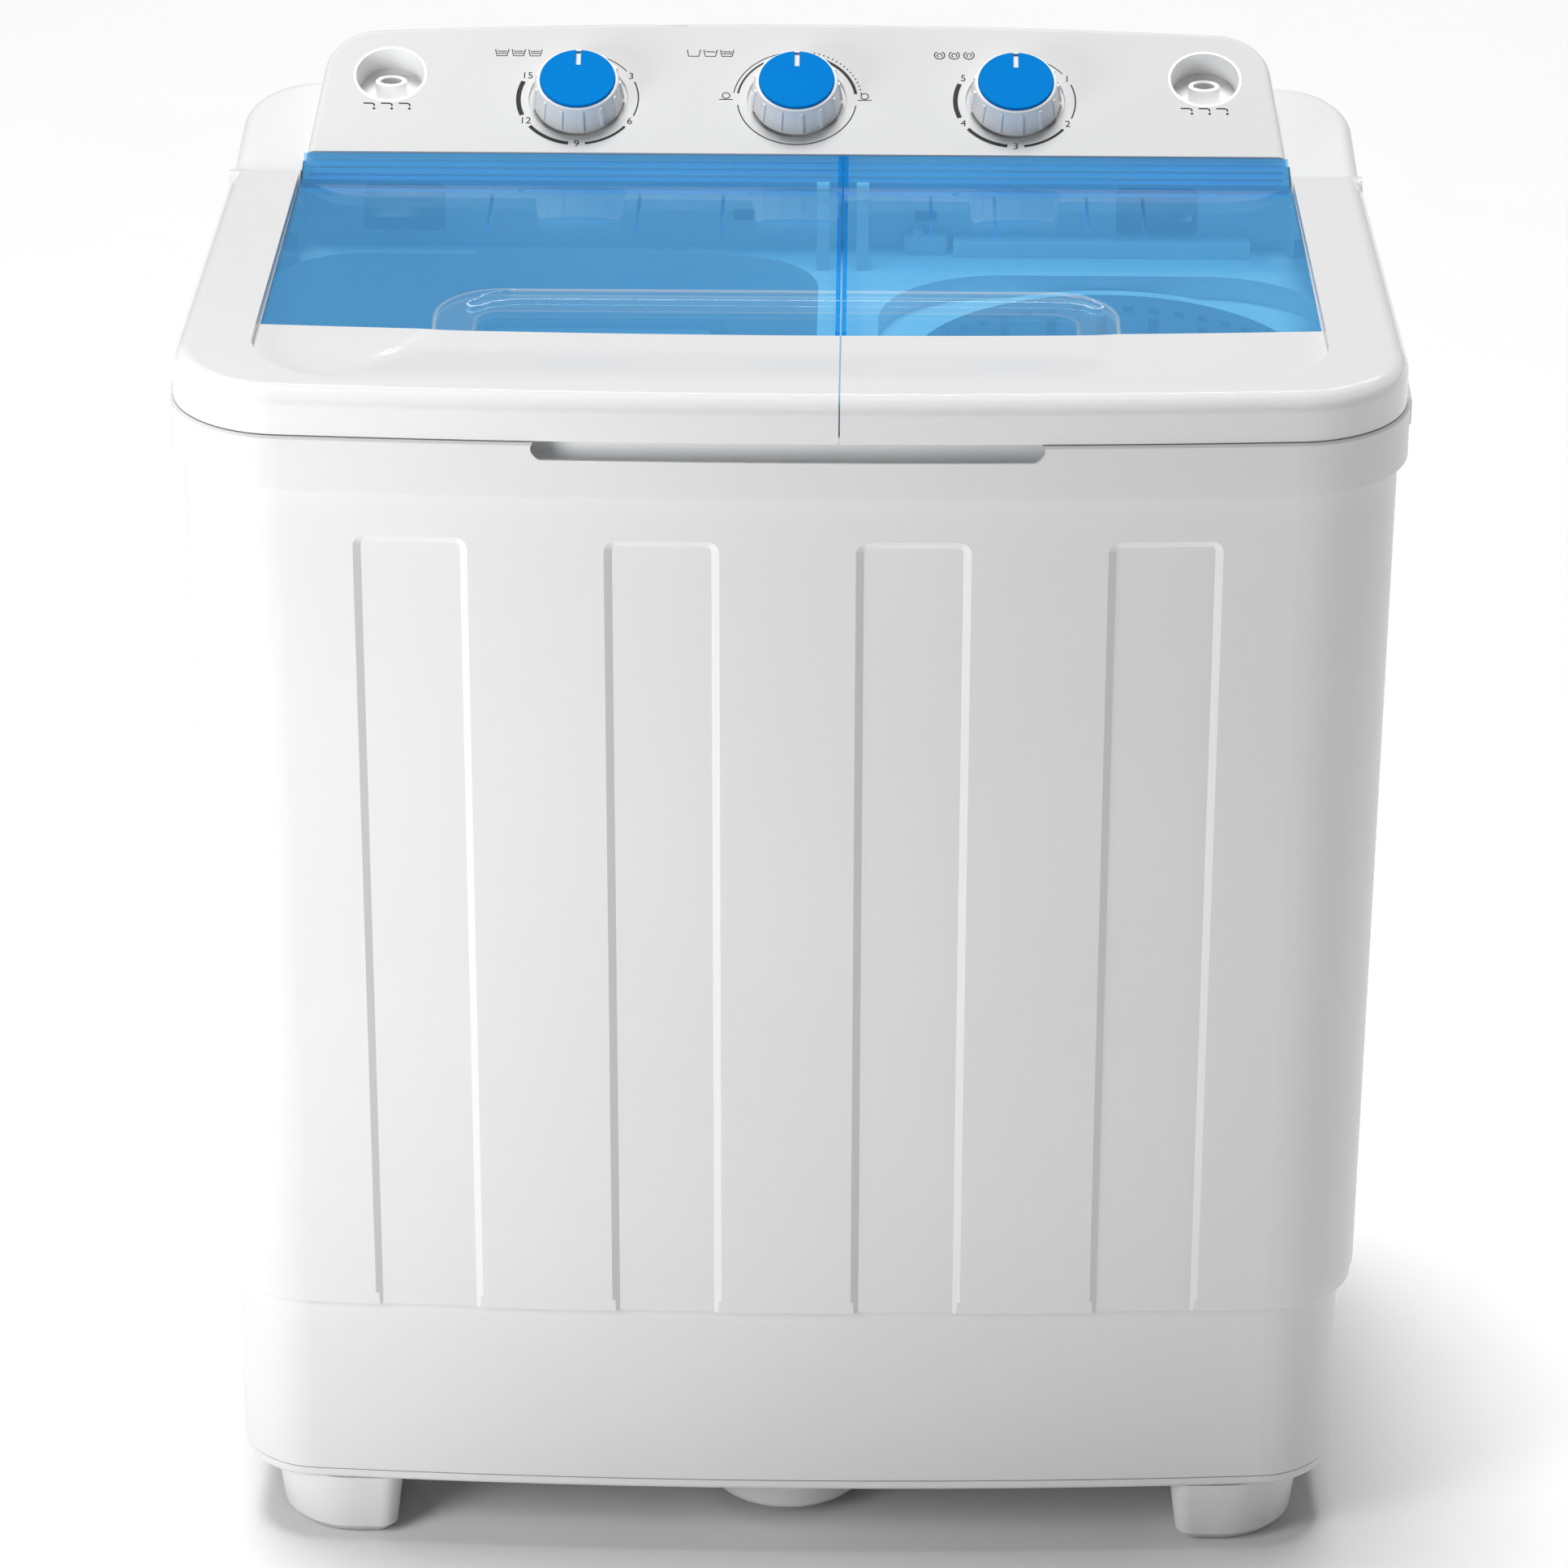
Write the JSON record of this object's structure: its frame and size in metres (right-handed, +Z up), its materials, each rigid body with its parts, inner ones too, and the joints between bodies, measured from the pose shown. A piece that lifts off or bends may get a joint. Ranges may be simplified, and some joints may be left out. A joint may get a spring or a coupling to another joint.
{
  "type": "twin tub washer",
  "caption": "Compact washing machine with a wash tub and a spin basket side by side, split see-through lids and a sloping rear panel with turning knobs.",
  "frame": {"origin": "middle of the footprint, on the floor", "axes": "+X to the user's right when facing the front, +Y to the rear, +Z up; the front faces -Y"},
  "size_m": [0.594, 0.375, 0.6967],
  "materials": {
    "lid_white": "gloss",
    "shell_white": "satin gloss",
    "panel_white": "gloss",
    "window_blue": "clear tinted, gloss",
    "cap_blue": "gloss",
    "knob_white": "satin",
    "tub_white": "satin",
    "inner_plastic": "matt",
    "dark_plastic": "matt",
    "rubber_grey": "matt",
    "motor_paint": "satin",
    "steel": "brushed",
    "aluminium_cast": "cast"
  },
  "bodies": {
    "cabinet": {"back_cover": "shell_white", "back_cover_screws": "steel", "base_plinth": "shell_white", "base_tray": "shell_white", "brake_pivot": "motor_paint", "cabinet_shell": "shell_white", "control_box": "panel_white", "control_panel": "panel_white", "cord_gland": "dark_plastic", "drain_pipe": "rubber_grey", "drain_spigot": "inner_plastic", "drain_valve_body": "inner_plastic", "drive_belt": "rubber_grey", "feet": "shell_white", "foot_pads": "rubber_grey", "hose_hooks": "shell_white", "lid_hinge_posts": "inner_plastic", "lid_switch": "inner_plastic", "motor_capacitors": "inner_plastic", "overflow_filter": "tub_white", "pulsator_seal": "rubber_grey", "selector_module": "inner_plastic", "spin_motor": "motor_paint", "spin_motor_mounts": "rubber_grey", "spin_outer_tub": "tub_white", "spin_shaft_bellows": "rubber_grey", "spin_timer_module": "inner_plastic", "top_rim": "shell_white", "tub_deck": "tub_white", "wash_gearbox": "aluminium_cast", "wash_motor": "motor_paint", "wash_motor_bracket": "motor_paint", "wash_timer_module": "inner_plastic", "wash_tub": "tub_white", "water_chutes": "dark_plastic", "water_inlet_left": "panel_white", "water_inlet_right": "panel_white"},
    "wash_lid": {"wash_lid_frame": "lid_white", "wash_lid_window": "window_blue"},
    "spin_lid": {"spin_lid_frame": "lid_white", "spin_lid_window": "window_blue"},
    "wash_timer_dial": {"wash_timer_knob": "knob_white", "wash_timer_cap": "cap_blue", "wash_timer_shaft": "steel"},
    "selector_dial": {"selector_knob": "knob_white", "selector_cap": "cap_blue", "selector_shaft": "steel"},
    "spin_timer_dial": {"spin_timer_knob": "knob_white", "spin_timer_cap": "cap_blue", "spin_timer_shaft": "steel"},
    "agitator": {"pulsator": "tub_white", "pulsator_shaft": "steel", "drive_pulley": "inner_plastic"},
    "wash_rotor": {"motor_shaft": "steel", "motor_pulley": "aluminium_cast"},
    "basket": {"spin_basket": "tub_white", "spin_shaft": "steel", "brake_drum": "steel"},
    "brake": {"brake_arm": "motor_paint"},
    "drain_plunger": {"drain_valve_plunger": "rubber_grey"}
  },
  "joints": [
    {"name": "wash_lid_hinge", "type": "hinge", "parent": "cabinet", "child": "wash_lid", "pos_m": [-0.13, 0.092, 0.642], "axis": [-1, 0, 0], "range_deg": [0, 95]},
    {"name": "spin_lid_hinge", "type": "hinge", "parent": "cabinet", "child": "spin_lid", "pos_m": [0.15, 0.092, 0.642], "axis": [-1, 0, 0], "range_deg": [0, 95]},
    {"name": "wash_timer_turn", "type": "hinge", "parent": "cabinet", "child": "wash_timer_dial", "pos_m": [-0.111, 0.1397, 0.67225], "axis": [0, 0.4809, -0.8768], "range_deg": [0, 300]},
    {"name": "selector_turn", "type": "hinge", "parent": "cabinet", "child": "selector_dial", "pos_m": [0, 0.1397, 0.67225], "axis": [0, 0.4809, -0.8768], "range_deg": [-90, 90]},
    {"name": "spin_timer_turn", "type": "hinge", "parent": "cabinet", "child": "spin_timer_dial", "pos_m": [0.111, 0.1397, 0.67225], "axis": [0, 0.4809, -0.8768], "range_deg": [0, 300]},
    {"name": "pulsator_spin", "type": "hinge", "parent": "cabinet", "child": "agitator", "pos_m": [-0.125, -0.038, 0.15], "axis": [0, 0, 1], "continuous": true},
    {"name": "wash_motor_spin", "type": "hinge", "parent": "cabinet", "child": "wash_rotor", "pos_m": [-0.02, 0.07, 0.1], "axis": [0, 0, 1], "continuous": true},
    {"name": "spin_basket_spin", "type": "hinge", "parent": "cabinet", "child": "basket", "pos_m": [0.155, -0.032, 0.2], "axis": [0, 0, 1], "continuous": true},
    {"name": "brake_arm_swing", "type": "hinge", "parent": "cabinet", "child": "brake", "pos_m": [0.091, 0.008, 0.177], "axis": [0, 0, 1], "range_deg": [0, 3.2]},
    {"name": "drain_valve_lift", "type": "slide", "parent": "cabinet", "child": "drain_plunger", "axis": [0, 0, 1], "range_m": [0, 0.008], "stiffness_N_per_m": 200, "springref_m": -0.008}
  ],
  "couplings": [
    {"joint": "wash_motor_spin", "follows": "pulsator_spin", "ratio": 5.4765},
    {"joint": "brake_arm_swing", "follows": "spin_lid_hinge", "ratio": 0.0336}
  ]
}
